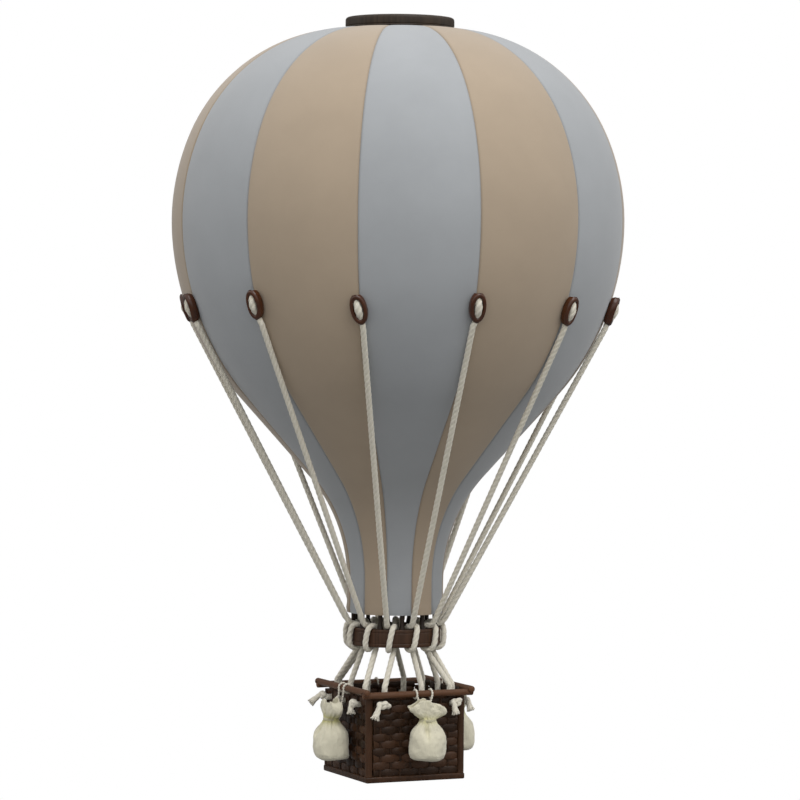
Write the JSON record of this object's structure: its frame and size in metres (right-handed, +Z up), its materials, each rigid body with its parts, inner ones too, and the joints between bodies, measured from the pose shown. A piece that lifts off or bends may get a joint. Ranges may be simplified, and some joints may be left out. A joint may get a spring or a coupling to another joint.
{
  "type": "hanging hot air balloon model",
  "caption": "Decorative hanging hot air balloon: striped gored envelope, crown ring, roped load ring and woven basket with swinging sandbags.",
  "frame": {"origin": "the point where the hanging eye bears on its hook, 1 mm above the crown ring's top face", "axes": "+Z up along the balloon's axis; -Y towards the basket's front side, +X towards its right side"},
  "size_m": [0.2996, 0.2996, 0.5067],
  "materials": {
    "gore_beige": "matte cotton cloth",
    "gore_grey_blue": "matte cotton cloth",
    "crown_wood": "dark stained, satin",
    "brass": "dull",
    "eyelet_brown": "glossy red-brown",
    "cotton_cord": "twisted cotton",
    "ring_wood": "dark stained, satin",
    "rattan": "dark stained woven rattan",
    "bag_cotton": "matte cotton cloth"
  },
  "bodies": {
    "balloon": {"gore_01": "gore_beige", "gore_02": "gore_grey_blue", "gore_03": "gore_beige", "gore_04": "gore_grey_blue", "gore_05": "gore_beige", "gore_06": "gore_grey_blue", "gore_07": "gore_beige", "gore_08": "gore_grey_blue", "gore_09": "gore_beige", "gore_10": "gore_grey_blue", "gore_11": "gore_beige", "gore_12": "gore_grey_blue", "crown_ring": "crown_wood", "crown_disc": "crown_wood", "hanging_eye": "brass", "eyelet_01": "eyelet_brown", "eyelet_02": "eyelet_brown", "eyelet_03": "eyelet_brown", "eyelet_04": "eyelet_brown", "eyelet_05": "eyelet_brown", "eyelet_06": "eyelet_brown", "eyelet_07": "eyelet_brown", "eyelet_08": "eyelet_brown", "eyelet_09": "eyelet_brown", "eyelet_10": "eyelet_brown", "eyelet_11": "eyelet_brown", "eyelet_12": "eyelet_brown", "stay_01": "cotton_cord", "stay_02": "cotton_cord", "stay_03": "cotton_cord", "stay_04": "cotton_cord", "stay_05": "cotton_cord", "stay_06": "cotton_cord", "stay_07": "cotton_cord", "stay_08": "cotton_cord", "stay_09": "cotton_cord", "stay_10": "cotton_cord", "stay_11": "cotton_cord", "stay_12": "cotton_cord", "load_ring": "ring_wood", "basket_base": "rattan", "basket_wall_front": "rattan", "basket_wall_right": "rattan", "basket_wall_back": "rattan", "basket_wall_left": "rattan", "rim_rod_front": "rattan", "rim_rod_right": "rattan", "rim_rod_back": "rattan", "rim_rod_left": "rattan"},
    "sandbag_front": {"sandbag_front": "bag_cotton", "sandbag_cord_front": "cotton_cord"},
    "sandbag_right": {"sandbag_right": "bag_cotton", "sandbag_cord_right": "cotton_cord"},
    "sandbag_back": {"sandbag_back": "bag_cotton", "sandbag_cord_back": "cotton_cord"},
    "sandbag_left": {"sandbag_left": "bag_cotton", "sandbag_cord_left": "cotton_cord"}
  },
  "joints": [
    {"name": "sandbag_front_swing", "type": "hinge", "parent": "balloon", "child": "sandbag_front", "pos_m": [0.0025, -0.0379, -0.4474], "axis": [-1, 0, 0], "range_deg": [0, 75]},
    {"name": "sandbag_right_swing", "type": "hinge", "parent": "balloon", "child": "sandbag_right", "pos_m": [0.0379, 0.003, -0.4454], "axis": [0, -1, 0], "range_deg": [0, 75]},
    {"name": "sandbag_back_swing", "type": "hinge", "parent": "balloon", "child": "sandbag_back", "pos_m": [-0.001, 0.0379, -0.4474], "axis": [1, 0, 0], "range_deg": [0, 75]},
    {"name": "sandbag_left_swing", "type": "hinge", "parent": "balloon", "child": "sandbag_left", "pos_m": [-0.0379, -0.005, -0.4454], "axis": [0, 1, 0], "range_deg": [0, 75]}
  ]
}
